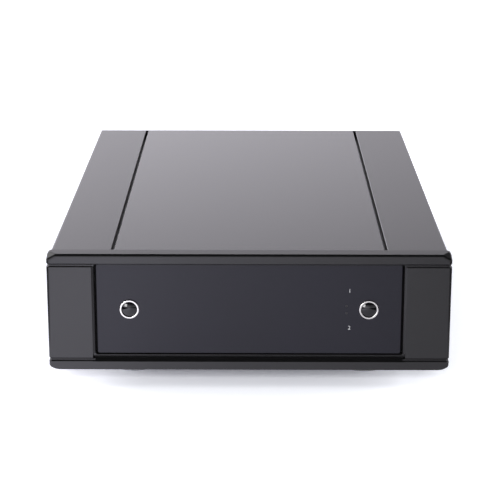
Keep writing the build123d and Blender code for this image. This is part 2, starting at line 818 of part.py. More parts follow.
clamp_top = winding_top + pad_thickness + clamp_thickness
with BuildPart() as transformer_bolt:
    with BuildSketch(Plane.XY.offset(base)):
        with Locations(*transformer_bolt_spot):
            Circle(bolt_head / 2)
    extrude(amount=-bolt_head_height)
    with BuildSketch(Plane.XY.offset(base)):
        with Locations(*transformer_bolt_spot):
            Circle(bolt_diameter / 2)
    extrude(amount=clamp_top + bolt_nut_height + nut_showing - base)
    with BuildSketch(Plane.XY.offset(base - bolt_head_height)):
        with Locations(*transformer_bolt_spot):
            RegularPolygon(bolt_diameter / 3, 6, major_radius=False)
    extrude(amount=bolt_head_height / 2, mode=Mode.SUBTRACT)
save(transformer_bolt, "transformer_bolt")

with BuildPart() as transformer_nut:
    with BuildSketch(Plane.XY.offset(clamp_top)):
        with Locations(*transformer_bolt_spot):
            RegularPolygon(bolt_nut_width / 2, 6, major_radius=False)
            Circle(bolt_diameter / 2 + bolt_slack, mode=Mode.SUBTRACT)
    extrude(amount=bolt_nut_height)
save(transformer_nut, "transformer_nut")

# --- main board ---------------------------------------------------------------------------------
board_middle = (board_left + board_right) / 2
with BuildPart() as main_board:
    with BuildSketch(Plane.XY.offset(board_foot)):
        with Locations((board_middle, board_front)):
            Rectangle(board_right - board_left, board_length, align=(Align.CENTER, Align.MIN))
        with Locations(*board_screw_spots):
            Circle(screw_hole, mode=Mode.SUBTRACT)
    extrude(amount=board_thickness)
save(main_board, "main_board")

with BuildPart() as board_standoffs:
    with BuildSketch(Plane.XY.offset(plate_top)):
        with Locations(*board_screw_spots):
            RegularPolygon(standoff_width / 2, 6, major_radius=False)
            Circle(screw_hole, mode=Mode.SUBTRACT)
    extrude(amount=board_height)
save(board_standoffs, "board_standoffs")
screw_set("board_screws", board_screw_spots, Plane.XY.offset(board_top), 1,
          board_thickness + board_height - hole_floor)


def cans(spots, diameter, height):
    """Round electrolytic capacitors with a crimped neck, standing on the main board."""
    neck = diameter / 20
    with BuildPart() as can:
        with BuildSketch(Plane.XY.offset(board_top)):
            with Locations(*spots):
                Circle(diameter / 2)
        extrude(amount=height)
        fillet(can.faces().group_by(Axis.Z)[-1].edges(), neck)
        with BuildSketch(Plane.XY.offset(board_top + 2 * neck)):
            with Locations(*spots):
                Circle(diameter / 2)
                Circle(diameter / 2 - neck / 2, mode=Mode.SUBTRACT)
        extrude(amount=neck, mode=Mode.SUBTRACT)
    return can.part


def blocks(label, spots, length, width, height, round_radius=0.0):
    """Box-shaped components standing on the main board, length along Y."""
    with BuildPart() as block:
        with BuildSketch(Plane.XY.offset(board_top)):
            with Locations(*spots):
                Rectangle(width, length)
        extrude(amount=height)
        if round_radius:
            fillet(block.faces().group_by(Axis.Z)[-1].edges(), round_radius)
    save(block, label)


def grid(first, pitch, columns, rows):
    """Spots on the main board, the first one measured from the board's left and front edges."""
    return [(board_left + first[0] + i * pitch[0], board_front + first[1] + j * pitch[1])
            for i in range(columns) for j in range(rows)]


def rows_before(row_half, first, pitch, half):
    """As many rows as fit in front of the row along the board's rear edge."""
    room = board_length - rear_row_inset - row_half - half - first[1]
    return max(1, int(room // pitch[1]) + 1)


coupling_rows = rows_before(chip_length / 2, coupling_first, coupling_pitch, small_capacitor_diameter / 2)
film_rows = rows_before(chip_length / 2, film_first, film_pitch, film_length / 2)
transistor_rows = rows_before(relay_length / 2, transistor_first, transistor_pitch, transistor_diameter / 2)
rear_row = board_length - rear_row_inset
smoothing = cans(grid(smoothing_first, smoothing_pitch, *smoothing_count),
                 main_capacitor_diameter, main_capacitor_height)
coupling = cans(grid(coupling_first, coupling_pitch, coupling_columns, coupling_rows),
                small_capacitor_diameter, small_capacitor_height)
with BuildPart() as electrolytic_capacitors:
    add(smoothing)
    add(coupling)
save(electrolytic_capacitors, "electrolytic_capacitors")
blocks("film_capacitors", grid(film_first, film_pitch, film_columns, film_rows),
       film_length, film_width, film_height, film_round)
blocks("relays", grid((relay_first_x, rear_row), (relay_pitch, 0), relay_count, 1),
       relay_length, relay_width, relay_height)
blocks("amplifier_chips", grid((chip_first_x, rear_row), (chip_pitch, 0), chip_count, 1),
       chip_length, chip_width, chip_height)
blocks("bridge_rectifier", grid(bridge_first, (0, 0), 1, 1), bridge_length, bridge_width, bridge_height)

# headers: the ribbon's two, and the one for the transformer's leads
power_header_spot = (power_header_x, board_front + header_setback)
control_header_back = control_back + header_height
with BuildPart() as headers:
    with BuildSketch(Plane.XY.offset(board_top)):
        with Locations((ribbon_x, board_front + header_setback)):
            Rectangle(ribbon_width + header_margin, header_depth)
        with Locations(power_header_spot):
            Rectangle(3 * lead_pitch + header_margin, header_depth)
    extrude(amount=header_height)
    with BuildSketch(facing(control_header_back)):
        with Locations((ribbon_x, button_height)):
            Rectangle(ribbon_width + header_margin, header_depth)
    extrude(amount=header_height)
save(headers, "headers")

with BuildPart() as transistors:
    spots = grid(transistor_first, transistor_pitch, transistor_columns, transistor_rows)
    with BuildSketch(Plane.XY.offset(board_top + transistor_leg)):
        with Locations(*spots):
            Circle(transistor_diameter / 2)
    extrude(amount=transistor_height)
    with BuildSketch(Plane.XY.offset(board_top)):
        with Locations(*spots):
            Rectangle(0.6 * transistor_diameter, transistor_leg_width)
    extrude(amount=transistor_leg)
save(transistors, "transistors")

# heat sink at the board's left edge, with two regulators bolted to it
sink_front = board_front + sink_setback
with BuildPart() as heat_sink:
    with BuildSketch(Plane.XY.offset(board_top)):
        with Locations((sink_x, sink_front + sink_length / 2)):
            Rectangle(sink_plate, sink_length)
            with Locations((-(sink_plate + fin_depth) / 2, 0)):
                with GridLocations(0, (sink_length - fin_thickness) / (fin_count - 1), 1, fin_count):
                    Rectangle(fin_depth, fin_thickness)
    extrude(amount=sink_height)
save(heat_sink, "heat_sink")

regulator_x = sink_x + sink_plate / 2 + regulator_thickness / 2
regulator_spots = [(regulator_x, sink_front + share * sink_length) for share in (0.25, 0.75)]
with BuildPart() as regulators:
    with BuildSketch(Plane.XY.offset(board_top + regulator_leg)):
        with Locations(*regulator_spots):
            Rectangle(regulator_thickness, regulator_width)
    extrude(amount=regulator_height)
    with BuildSketch(Plane.XY.offset(board_top)):
        for spot in regulator_spots:
            with Locations(spot):
                with GridLocations(0, regulator_leg_pitch, 1, 3):
                    Rectangle(regulator_leg_width, regulator_leg_width)
    extrude(amount=regulator_leg)
save(regulators, "regulators")

# --- ribbon cable and leads ---------------------------------------------------------------------
with BuildPart() as ribbon_cable:
    header_top = board_top + header_height
    header_y = board_front + header_setback
    with BuildLine() as run:
        FilletPolyline((ribbon_x, control_header_back, button_height),
                       (ribbon_x, control_header_back + 2.5 * ribbon_bend, button_height),
                       (ribbon_x, control_header_back + 5 * ribbon_bend, button_height - ribbon_sag),
                       (ribbon_x, header_y - 3 * ribbon_bend, button_height - ribbon_sag),
                       (ribbon_x, header_y, header_top + 3 * ribbon_bend),
                       (ribbon_x, header_y, header_top),
                       radius=ribbon_bend)
    with BuildSketch(Plane(origin=run.line @ 0, x_dir=(1, 0, 0), z_dir=run.line % 0)):
        Rectangle(ribbon_width, ribbon_thickness)
    sweep(path=run.line)
save(ribbon_cable, "ribbon_cable")


def bend_radii(points):
    """As large a radius at each corner as its two runs allow."""
    radii = []
    for before, corner, after in zip(points, points[1:], points[2:]):
        into = Vector(*corner) - Vector(*before)
        out = Vector(*after) - Vector(*corner)
        turn = radians(into.get_angle(out))
        radii.append(0.45 * min(into.length, out.length) / tan(turn / 2))
    return radii


def lead(label, routes):
    """Insulated wires along routes of points."""
    with BuildPart() as wires:
        for points in routes:
            with BuildLine() as run:
                FilletPolyline(*points, radius=bend_radii(points))
            with BuildSketch(Plane(origin=run.line @ 0, z_dir=run.line % 0)):
                Circle(lead_diameter / 2)
            sweep(path=run.line)
    save(wires, label)


def by_winding(angle, distance, z):
    """A point beside the transformer: angle in degrees, distance from its middle."""
    return (transformer_x + distance * cos(radians(angle)), transformer_y + distance * sin(radians(angle)), z)


def between(start, end, share, drop):
    """A point part of the way from start to end, hanging below the straight run."""
    spot = Vector(*start) + (Vector(*end) - Vector(*start)) * share
    return (spot.X, spot.Y, spot.Z - drop)


winding_middle = winding_foot + winding_height / 2
secondary_routes = []
for i in (-1, 0, 1):
    angle = secondary_angle - i * secondary_spread
    x = power_header_x + i * lead_pitch
    secondary_routes.append([by_winding(angle, winding_outer + seat, winding_middle),
                             by_winding(angle, winding_outer + lead_exit, winding_middle),
                             (x, power_header_spot[1], header_top + 2 * lead_exit),
                             (x, power_header_spot[1], header_top)])
lead("secondary_leads", secondary_routes)

mains_routes = []
for side, angle in zip((-1, 1), mains_angles):
    x = inlet_x + side * blade_pitch
    tab_exit = (x, tab_front - lead_exit, outer_blade_z)
    winding_exit = by_winding(angle, winding_outer + 2 * lead_exit, winding_middle)
    mains_routes.append([(x, tab_front, outer_blade_z),
                         tab_exit,
                         *[between(tab_exit, winding_exit, share, mains_sag) for share in mains_shares],
                         winding_exit,
                         by_winding(angle, winding_outer + seat, winding_middle)])
lead("mains_leads", mains_routes)

# the chassis is earthed at the foot nut under the inlet, and the ground post at the board
earth_nut = foot_spots[1]
earth_end = plate_top + nut_height + nut_showing
earth_start = cavity_middle + blade_rise / 2
lead("earth_leads", [[(inlet_x, tab_front, earth_start),
                      (inlet_x, tab_front - lead_exit, earth_start),
                      (*earth_nut, (earth_start + earth_end) / 2),
                      (*earth_nut, earth_end)],
                     [(post_x, post_front, base + post_z),
                      (post_x, post_front - lead_exit, base + post_z),
                      (post_x, post_front - lead_exit, board_top)]])

# --- rear panel ---------------------------------------------------------------------------------
socket_spots = [(x, base + z) for x in socket_columns for z in socket_rows]
post_spot = (post_x, base + post_z)
slot_middle = base + slider_z + (slider_height + slider_travel) / 2
with BuildPart() as rear_panel:
    with BuildSketch(facing(rear_face)):
        with Locations((0, plate_top)):
            Rectangle(2 * (inner_half - rear_panel_gap), inner_top - rear_panel_gap - plate_top,
                      align=(Align.CENTER, Align.MIN))
        with Locations((-groove_x, inner_top), (groove_x, inner_top)):
            Rectangle(rib_width + 2 * rear_panel_gap, 2 * (inner_top - rib_foot + rear_panel_gap),
                      mode=Mode.SUBTRACT)
        with Locations(*rear_screw_spots):
            Circle(screw_hole, mode=Mode.SUBTRACT)
        with Locations((inlet_x, inlet_height)):
            Rectangle(inlet_body_width + 2 * cutout_gap, inlet_body_height + 2 * cutout_gap,
                      mode=Mode.SUBTRACT)
        with Locations(*socket_spots):
            Circle(socket_diameter / 2 + seat, mode=Mode.SUBTRACT)
        with Locations(post_spot):
            Circle(post_diameter / 2 + bolt_slack, mode=Mode.SUBTRACT)
        with Locations(*[(x, slot_middle) for x in load_switch_x]):
            Rectangle(slider_width + 2 * slider_slot_gap, slider_height + slider_travel + 2 * slider_slot_gap,
                      mode=Mode.SUBTRACT)
    extrude(amount=rear_panel_thickness)
save(rear_panel, "rear_panel")
screw_set("rear_screws", rear_screw_spots, facing(rear_face), -1,
          rear_panel_thickness + rail_screw_depth - hole_floor)

# --- mains inlet with its fuse drawer -----------------------------------------------------------
flange_face = rear_face + inlet_flange_thickness
blade_spots = [(inlet_x - blade_pitch, outer_blade_z), (inlet_x, outer_blade_z + blade_rise),
               (inlet_x + blade_pitch, outer_blade_z)]
with BuildPart() as mains_inlet:
    with BuildSketch(facing(flange_face)) as flange:
        with Locations((inlet_x, inlet_height)):
            Rectangle(inlet_flange_width, inlet_flange_height)
        fillet(flange.vertices(), inlet_corner)
    extrude(amount=inlet_flange_thickness)
    chamfer(mains_inlet.faces().sort_by(Axis.Y)[-1].edges(), inlet_edge_bevel)
    with BuildSketch(facing(rear_face)):
        with Locations((inlet_x, inlet_height)):
            Rectangle(inlet_body_width, inlet_body_height)
    extrude(amount=rear_face - inlet_back)
    with BuildSketch(facing(flange_face)) as cavity:
        with Locations((inlet_x, cavity_middle)):
            Rectangle(cavity_width, cavity_height)
        chamfer(cavity.vertices().group_by(Axis.Y)[-1], cavity_bevel)
    extrude(amount=cavity_depth, mode=Mode.SUBTRACT)
    with BuildSketch(facing(flange_face)):
        with Locations((inlet_x, drawer_middle)):
            Rectangle(drawer_width + 2 * drawer_gap, drawer_height + 2 * drawer_gap)
    extrude(amount=drawer_depth + drawer_gap, mode=Mode.SUBTRACT)
    with BuildSketch(facing(cavity_floor)):
        with Locations(*blade_spots):
            Rectangle(blade_width + 2 * seat, blade_height + 2 * seat)
    extrude(amount=inlet_floor, mode=Mode.SUBTRACT)
save(mains_inlet, "mains_inlet")

with BuildPart() as inlet_blades:
    with BuildSketch(facing(cavity_floor + blade_length)):
        with Locations(*blade_spots):
            Rectangle(blade_width, blade_height)
    extrude(amount=blade_length + inlet_floor + tab_length)
    chamfer(inlet_blades.faces().group_by(Axis.Y)[-1].edges(), blade_width / 4)
save(inlet_blades, "inlet_blades")

with BuildPart() as fuse_drawer:
    with BuildSketch(facing(flange_face)):
        with Locations((inlet_x, drawer_middle)):
            Rectangle(drawer_width, drawer_height)
    extrude(amount=drawer_depth)
    with BuildSketch(facing(flange_face + drawer_face)):
        with Locations((inlet_x, drawer_middle)):
            Rectangle(drawer_width + 2 * drawer_lip, drawer_height + 2 * drawer_lip)
    extrude(amount=drawer_face)
    with BuildSketch(facing(flange_face + drawer_face + drawer_ridge)):
        with Locations((inlet_x, drawer_middle)):
            SlotOverall(drawer_width / 2, 1.5 * drawer_ridge)
    extrude(amount=drawer_ridge)
    fuse_y = flange_face - drawer_depth / 2
    with BuildSketch(Plane.XY.offset(drawer_middle + drawer_height / 2)):
        with Locations((inlet_x, fuse_y)):
            Rectangle(fuse_length + 2 * fuse_gap, fuse_diameter + 2 * fuse_gap)
    extrude(amount=-(drawer_height + fuse_diameter) / 2, mode=Mode.SUBTRACT)
save(fuse_drawer, "fuse_drawer")

with BuildPart() as fuse:
    with BuildSketch(Plane.YZ.offset(inlet_x - fuse_length / 2)):
        with Locations((fuse_y, drawer_middle)):
            Circle(fuse_diameter / 2 - fuse_gap)
    extrude(amount=fuse_length)
    for start in (inlet_x - fuse_length / 2, inlet_x + fuse_length / 2 - fuse_cap):
        with BuildSketch(Plane.YZ.offset(start)):
            with Locations((fuse_y, drawer_middle)):
                Circle(fuse_diameter / 2)
        extrude(amount=fuse_cap)
save(fuse, "fuse")

# --- phono sockets, each a metal shell round an insert, two to a block --------------------------
shell_start = rear_inner - socket_stub
shell_end = rear_face + socket_reach
insert_radius = socket_diameter / 2 - socket_wall
with BuildPart() as socket_blocks:
    with BuildSketch(Plane.XY.offset(board_top)):
        with Locations(*[(x, rear_inner) for x in socket_columns]):
            Rectangle(block_width, block_depth, align=(Align.CENTER, Align.MAX))
    extrude(amount=base + block_top - board_top)
    front_edges = socket_blocks.edges().group_by(Axis.Z)[-1].filter_by(Axis.X).group_by(Axis.Y)[0]
    chamfer(front_edges, block_bevel)
    with BuildSketch(facing(rear_inner)):
        with Locations(*socket_spots):
            Circle(socket_diameter / 2 + seat)
    extrude(amount=socket_stub, mode=Mode.SUBTRACT)
save(socket_blocks, "socket_blocks")

with BuildPart() as socket_shells:
    with BuildSketch(facing(shell_end)):
        with Locations(*socket_spots):
            Circle(socket_diameter / 2)
    extrude(amount=shell_end - shell_start)
    chamfer(socket_shells.faces().group_by(Axis.Y)[-1].edges(), socket_wall / 3)
    with BuildSketch(facing(rear_face + socket_flange_thickness)):
        with Locations(*socket_spots):
            RegularPolygon(socket_flange / 2, 6, major_radius=False)
    extrude(amount=socket_flange_thickness)
    with BuildSketch(facing(shell_end)):
        with Locations(*socket_spots):
            Circle(insert_radius)
    extrude(amount=shell_end - shell_start, mode=Mode.SUBTRACT)
save(socket_shells, "socket_shells")

for label, z in (("left_inserts", socket_rows[1]), ("right_inserts", socket_rows[0])):
    spots = [(x, base + z) for x in socket_columns]
    with BuildPart() as inserts:
        with BuildSketch(facing(shell_end - insert_setback)):
            with Locations(*spots):
                Circle(insert_radius)
        extrude(amount=shell_end - insert_setback - shell_start)
        with BuildSketch(facing(shell_end - insert_setback)):
            with Locations(*spots):
                Circle(socket_bore / 2)
        extrude(amount=socket_bore_depth, mode=Mode.SUBTRACT)
    save(inserts, label)

# --- ground post --------------------------------------------------------------------------------
post_end = rear_face + post_reach


def post_ring(label, start, thickness, outer, bore, sides=0):
    """A ring round the ground post, its nearer face at depth start; sides makes it a polygon."""
    with BuildPart() as ring:
        with BuildSketch(facing(start + thickness)):
            with Locations(post_spot):
                if sides:
                    RegularPolygon(outer / 2, sides, major_radius=False)
                else:
                    Circle(outer / 2)
                Circle(bore / 2, mode=Mode.SUBTRACT)
        extrude(amount=thickness)
    save(ring, label)


with BuildPart() as ground_post:
    with BuildSketch(facing(post_end)):
        with Locations(post_spot):
            Circle(post_diameter / 2)
    extrude(amount=post_end - post_front)
    chamfer(ground_post.faces().sort_by(Axis.Y)[-1].edges(), post_diameter / 8)
save(ground_post, "ground_post")
post_ring("post_nut", rear_inner - post_nut_height, post_nut_height, post_nut_width,
          post_diameter + 2 * seat, sides=6)
post_ring("post_bush", rear_face, post_bush_thickness, post_bush_diameter, post_diameter + 2 * seat)
washer_start = rear_face + post_bush_thickness
post_ring("ground_washer", washer_start, post_washer_thickness, post_washer_diameter,
          post_diameter + 2 * slip)

thumb_start = washer_start + post_washer_thickness
with BuildPart() as thumb_nut:
    with BuildSketch(facing(thumb_start + thumb_length)) as knurl:
        with Locations(post_spot):
            Circle(thumb_diameter / 2)
            with PolarLocations(thumb_diameter / 2, thumb_flutes):
                Circle(thumb_flute / 2, mode=Mode.SUBTRACT)
    extrude(amount=thumb_length)
    with BuildSketch(facing(thumb_start + thumb_collar)):
        with Locations(post_spot):
            Circle(thumb_diameter / 2)
            Circle(thumb_diameter / 2 - thumb_flute, mode=Mode.SUBTRACT)
    extrude(amount=thumb_collar, mode=Mode.SUBTRACT)
    with BuildSketch(facing(thumb_start + thumb_length)):
        with Locations(post_spot):
            Circle(post_diameter / 2 + slip)
    extrude(amount=thumb_length, mode=Mode.SUBTRACT)
save(thumb_nut, "thumb_nut")

# --- load switches: body on the board, slider through the rear panel ----------------------------
with BuildPart() as load_switches:
    with BuildSketch(Plane.XY.offset(board_top)):
        with Locations(*[(x, rear_inner) for x in load_switch_x]):
            Rectangle(load_switch_width, load_switch_depth, align=(Align.CENTER, Align.MAX))
    extrude(amount=base + load_switch_top - board_top)
    with BuildSketch(facing(rear_inner)):
        with Locations(*[(x, slot_middle) for x in load_switch_x]):
            Rectangle(slider_width + 2 * slider_gap, slider_height + slider_travel + 2 * slider_gap)
    extrude(amount=slider_sink + slider_gap, mode=Mode.SUBTRACT)
save(load_switches, "load_switches")

for number, x in enumerate(load_switch_x, 1):
    with BuildPart() as slider:
        with BuildSketch(facing(rear_face + slider_reach)):
            with Locations((x, base + slider_z)):
                Rectangle(slider_width, slider_height, align=(Align.CENTER, Align.MIN))
        extrude(amount=slider_reach + rear_panel_thickness + slider_sink)
        chamfer(slider.faces().sort_by(Axis.Y)[-1].edges(), slider_bevel)
    save(slider, f"load_slider_{number}")
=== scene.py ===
"""Looks of the phono preamp: materials, return springs, printed numerals, studio and camera."""
import json
import math

import bpy
from mathutils import Euler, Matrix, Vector


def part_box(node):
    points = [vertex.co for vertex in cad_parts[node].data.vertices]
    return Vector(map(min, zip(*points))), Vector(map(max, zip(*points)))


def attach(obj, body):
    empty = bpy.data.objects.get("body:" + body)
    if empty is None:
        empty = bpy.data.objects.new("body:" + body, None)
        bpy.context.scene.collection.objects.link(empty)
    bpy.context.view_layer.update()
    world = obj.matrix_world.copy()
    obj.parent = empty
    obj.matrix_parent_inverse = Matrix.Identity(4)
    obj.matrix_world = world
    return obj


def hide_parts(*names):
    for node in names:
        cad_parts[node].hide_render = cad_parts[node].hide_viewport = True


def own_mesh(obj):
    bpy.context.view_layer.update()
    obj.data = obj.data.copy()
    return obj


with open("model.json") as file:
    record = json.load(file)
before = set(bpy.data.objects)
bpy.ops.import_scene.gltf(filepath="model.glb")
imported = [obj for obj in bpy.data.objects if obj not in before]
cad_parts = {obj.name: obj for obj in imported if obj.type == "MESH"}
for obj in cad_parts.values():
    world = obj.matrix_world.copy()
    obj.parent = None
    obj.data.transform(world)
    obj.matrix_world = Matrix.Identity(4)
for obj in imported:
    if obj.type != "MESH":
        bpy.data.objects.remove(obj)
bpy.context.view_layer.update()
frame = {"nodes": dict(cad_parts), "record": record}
nodes = frame["nodes"]

MM = 0.001


# --- shader nodes ---------------------------------------------------------------------------------
def feed(tree, value, socket):
    """Links value to the socket if it is a socket itself, or else sets it there."""
    if isinstance(value, bpy.types.NodeSocket):
        tree.links.new(value, socket)
    else:
        socket.default_value = value


def maths(tree, operation, *values):
    """Math node on numbers or sockets."""
    node = tree.nodes.new("ShaderNodeMath")
    node.operation = operation
    for value, socket in zip(values, node.inputs):
        feed(tree, value, socket)
    return node.outputs["Value"]


def vector_maths(tree, operation, *values):
    """Vector Math node on vectors or sockets; LENGTH gives a number."""
    node = tree.nodes.new("ShaderNodeVectorMath")
    node.operation = operation
    for value, socket in zip(values, node.inputs):
        feed(tree, value, socket)
    return node.outputs["Value" if operation == "LENGTH" else "Vector"]


def mix(tree, kind, share, first, second):
    """Mix node on numbers (FLOAT) or colours (RGBA): first where share is 0, second where it is 1."""
    node = tree.nodes.new("ShaderNodeMix")
    node.data_type = kind
    share_slot, first_slot, second_slot, out = (0, 2, 3, 0) if kind == "FLOAT" else (0, 6, 7, 2)
    feed(tree, share, node.inputs[share_slot])
    feed(tree, first, node.inputs[first_slot])
    feed(tree, second, node.inputs[second_slot])
    return node.outputs[out]


def parts_of(tree, vector):
    """The X, Y and Z outputs of a vector."""
    split = tree.nodes.new("ShaderNodeSeparateXYZ")
    tree.links.new(vector, split.inputs["Vector"])
    return split.outputs


def ranged(tree, value, start, end, low, high):
    """Runs from low at start to high at end, and stays level beyond them."""
    node = tree.nodes.new("ShaderNodeMapRange")
    node.inputs["From Min"].default_value = start
    node.inputs["From Max"].default_value = end
    node.inputs["To Min"].default_value = low
    node.inputs["To Max"].default_value = high
    tree.links.new(value, node.inputs["Value"])
    return node.outputs["Result"]


def levels(tree, distance, table):
    """Looks a distance up in a table of (metres, level), straight between its rows."""
    start, end = table[0][0], table[-1][0]
    ramp = tree.nodes.new("ShaderNodeValToRGB")
    stops = ramp.color_ramp.elements
    places = [(spot - start) / (end - start) for spot, _ in table]
    for place in places[1:-1]:
        stops.new(place)
    for stop, place, (_, level) in zip(stops, places, table):
        stop.position = place
        stop.color = (level, level, level, 1)
    tree.links.new(ranged(tree, distance, start, end, 0.0, 1.0), ramp.inputs["Fac"])
    return ramp.outputs["Color"]


# --- materials ------------------------------------------------------------------------------------
COAT_ROUGHNESS = 0.08
BUMP_HEIGHT = 0.02 * MM
BRUSH_STRETCH = 0.02            # share that the grain keeps along the brushed axis


def material(name, colour, roughness, metallic=0.0, mottle=0.06, mottle_size=30 * MM, grain=0.0,
             grain_size=0.3 * MM, rough_spread=0.04, coat=0.0, ior=1.5, brushed=None):
    """Principled material whose colour, roughness and bump vary by noise; sizes are in metres.

    brushed stretches the grain along one axis: 0, 1 or 2.
    """
    made = bpy.data.materials.new(name)
    made.use_nodes = True
    tree = made.node_tree
    shader = tree.nodes["Principled BSDF"]
    shader.inputs["Metallic"].default_value = metallic
    shader.inputs["IOR"].default_value = ior
    shader.inputs["Coat Weight"].default_value = coat
    shader.inputs["Coat Roughness"].default_value = COAT_ROUGHNESS

    place = tree.nodes.new("ShaderNodeTexCoord")
    broad = tree.nodes.new("ShaderNodeTexNoise")
    broad.inputs["Scale"].default_value = 1 / mottle_size
    broad.inputs["Detail"].default_value = 3.0
    tree.links.new(place.outputs["Object"], broad.inputs["Vector"])

    ramp = tree.nodes.new("ShaderNodeValToRGB")
    for stop, change in zip(ramp.color_ramp.elements, (1 - mottle, 1 + mottle)):
        stop.color = (*[min(1.0, c * change) for c in colour], 1.0)
    ramp.color_ramp.elements[0].position = 0.3
    ramp.color_ramp.elements[1].position = 0.7
    tree.links.new(broad.outputs["Fac"], ramp.inputs["Fac"])
    tree.links.new(ramp.outputs["Color"], shader.inputs["Base Color"])

    fine = tree.nodes.new("ShaderNodeTexNoise")
    fine.inputs["Scale"].default_value = 1 / grain_size
    fine.inputs["Detail"].default_value = 2.0
    stretch = tree.nodes.new("ShaderNodeMapping")
    if brushed is not None:
        stretch.inputs["Scale"].default_value[brushed] = BRUSH_STRETCH
    tree.links.new(place.outputs["Object"], stretch.inputs["Vector"])
    tree.links.new(stretch.outputs["Vector"], fine.inputs["Vector"])

    spread = ranged(tree, fine.outputs["Fac"], 0.0, 1.0, max(0.0, roughness - rough_spread),
                    min(1.0, roughness + rough_spread))
    tree.links.new(spread, shader.inputs["Roughness"])

    if grain:
        bump = tree.nodes.new("ShaderNodeBump")
        bump.inputs["Strength"].default_value = grain
        bump.inputs["Distance"].default_value = BUMP_HEIGHT
        tree.links.new(fine.outputs["Fac"], bump.inputs["Height"])
        tree.links.new(bump.outputs["Normal"], shader.inputs["Normal"])
    return made


def finish_of(mat, *names):
    """Gives CAD nodes their material."""
    for name in names:
        mesh = nodes[name].data
        mesh.materials.clear()
        mesh.materials.append(mat)


def rougher_outside(mat, half, extra):
    """Adds roughness where the distance from the middle plane is more than half."""
    tree = mat.node_tree
    roughness = tree.nodes["Principled BSDF"].inputs["Roughness"]
    across = parts_of(tree, tree.nodes["Texture Coordinate"].outputs["Object"])["X"]
    outside = maths(tree, "GREATER_THAN", maths(tree, "ABSOLUTE", across), half)
    tree.links.new(maths(tree, "MULTIPLY_ADD", outside, extra, roughness.links[0].from_socket), roughness)


def duller_inside(mat, low, high, dull):
    """Makes the surface matt between two corners, as where the coat is thin inside a gap."""
    tree = mat.node_tree
    roughness = tree.nodes["Principled BSDF"].inputs["Roughness"]
    place = tree.nodes["Texture Coordinate"].outputs["Object"]
    from_middle = vector_maths(tree, "SUBTRACT", place, (low + high) / 2)
    share = vector_maths(tree, "DIVIDE", from_middle, (high - low) / 2)
    away = parts_of(tree, vector_maths(tree, "ABSOLUTE", share))
    widest = maths(tree, "MAXIMUM", maths(tree, "MAXIMUM", away["X"], away["Y"]), away["Z"])
    inside = maths(tree, "LESS_THAN", widest, 1.0)
    tree.links.new(mix(tree, "FLOAT", inside, roughness.links[0].from_socket, dull), roughness)


GAP_REACH = Vector((1.5, 0, 1.5)) * MM  # of the matt gap, past the edges of the front panel
GAP_START = Vector((0, 0.5, 0)) * MM    # behind the panel's face
GAP_END = Vector((0, 1, 0)) * MM        # behind the panel's back
GAP_ROUGHNESS = 0.95
SLEEVE_FLANK = 73.5 * MM        # further from the middle plane the sleeve mirrors less sharply
FLANK_ROUGHER = 0.04
powder_coat = material("powder_coat_black", (0.003, 0.003, 0.0032), 0.33, grain=0.2, grain_size=0.35 * MM)
panel_low, panel_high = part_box("front_panel")
duller_inside(powder_coat, panel_low - GAP_REACH + GAP_START, panel_high + GAP_REACH + GAP_END,
              GAP_ROUGHNESS)
finish_of(powder_coat, "front_bezel")
finish_of(material("tray_coat_black", (0.012, 0.012, 0.013), 0.42, grain=0.35, grain_size=0.35 * MM),
          "base_tray", "rear_panel")
sleeve = material("anodised_sleeve", (0.004, 0.004, 0.0042), 0.25, grain=0.12, grain_size=0.2 * MM,
                  ior=1.6)
rougher_outside(sleeve, SLEEVE_FLANK, FLANK_ROUGHER)
finish_of(sleeve, "top_cover")
finish_of(material("anodised_panel", (0.0025, 0.0025, 0.006), 0.36, grain=0.12, grain_size=0.2 * MM,
                   ior=1.4), "front_panel")
finish_of(material("gloss_black", (0.002, 0.002, 0.0025), 0.06, rough_spread=0.02, ior=1.45),
          "power_button", "selector_button")
finish_of(material("polished_ring", (0.6, 0.59, 0.56), 0.24, metallic=1.0, mottle=0.02, rough_spread=0.03),
          "power_ring", "selector_ring")
finish_of(material("foot_rubber", (0.34, 0.34, 0.35), 0.7, grain=0.5, grain_size=0.5 * MM, mottle=0.1),
          "feet")
finish_of(material("moulded_black", (0.018, 0.018, 0.018), 0.45, grain=0.4, grain_size=0.25 * MM),
          "mains_inlet", "fuse_drawer", "socket_blocks", "load_switches", "headers", "push_switches",
          "amplifier_chips", "transistors", "bridge_rectifier", "post_bush")
finish_of(material("relay_shell", (0.72, 0.72, 0.69), 0.3, mottle=0.03), "relays")
finish_of(material("dipped_red", (0.42, 0.05, 0.03), 0.25, coat=0.3, mottle=0.1), "film_capacitors")
finish_of(material("can_sleeve", (0.02, 0.03, 0.08), 0.3, coat=0.2), "electrolytic_capacitors")
finish_of(material("slider_white", (0.75, 0.75, 0.72), 0.4, mottle=0.03, grain=0.2), "load_slider_1",
          "load_slider_2")
finish_of(material("insert_white", (0.78, 0.78, 0.76), 0.3, mottle=0.03), "left_inserts")
finish_of(material("insert_red", (0.5, 0.02, 0.02), 0.3, mottle=0.05), "right_inserts")
finish_of(material("gold_plate", (0.83, 0.62, 0.28), 0.2, metallic=1.0, mottle=0.04, rough_spread=0.06),
          "socket_shells", "ground_post", "ground_washer", "thumb_nut", "post_nut")
finish_of(material("nickel_plate", (0.62, 0.6, 0.56), 0.28, metallic=1.0, brushed=1, grain=0.2),
          "inlet_blades")
finish_of(material("black_steel", (0.03, 0.03, 0.032), 0.35, metallic=0.6, grain=0.3), "bezel_screws",
          "cover_screws", "rear_screws", "foot_screws")
finish_of(material("zinc_plate", (0.6, 0.6, 0.6), 0.32, metallic=1.0, grain=0.3, mottle=0.1), "board_screws",
          "control_screws", "foot_nuts", "transformer_bolt", "transformer_nut", "transformer_clamp",
          "power_spring", "selector_spring", "board_standoffs", "control_spacers")
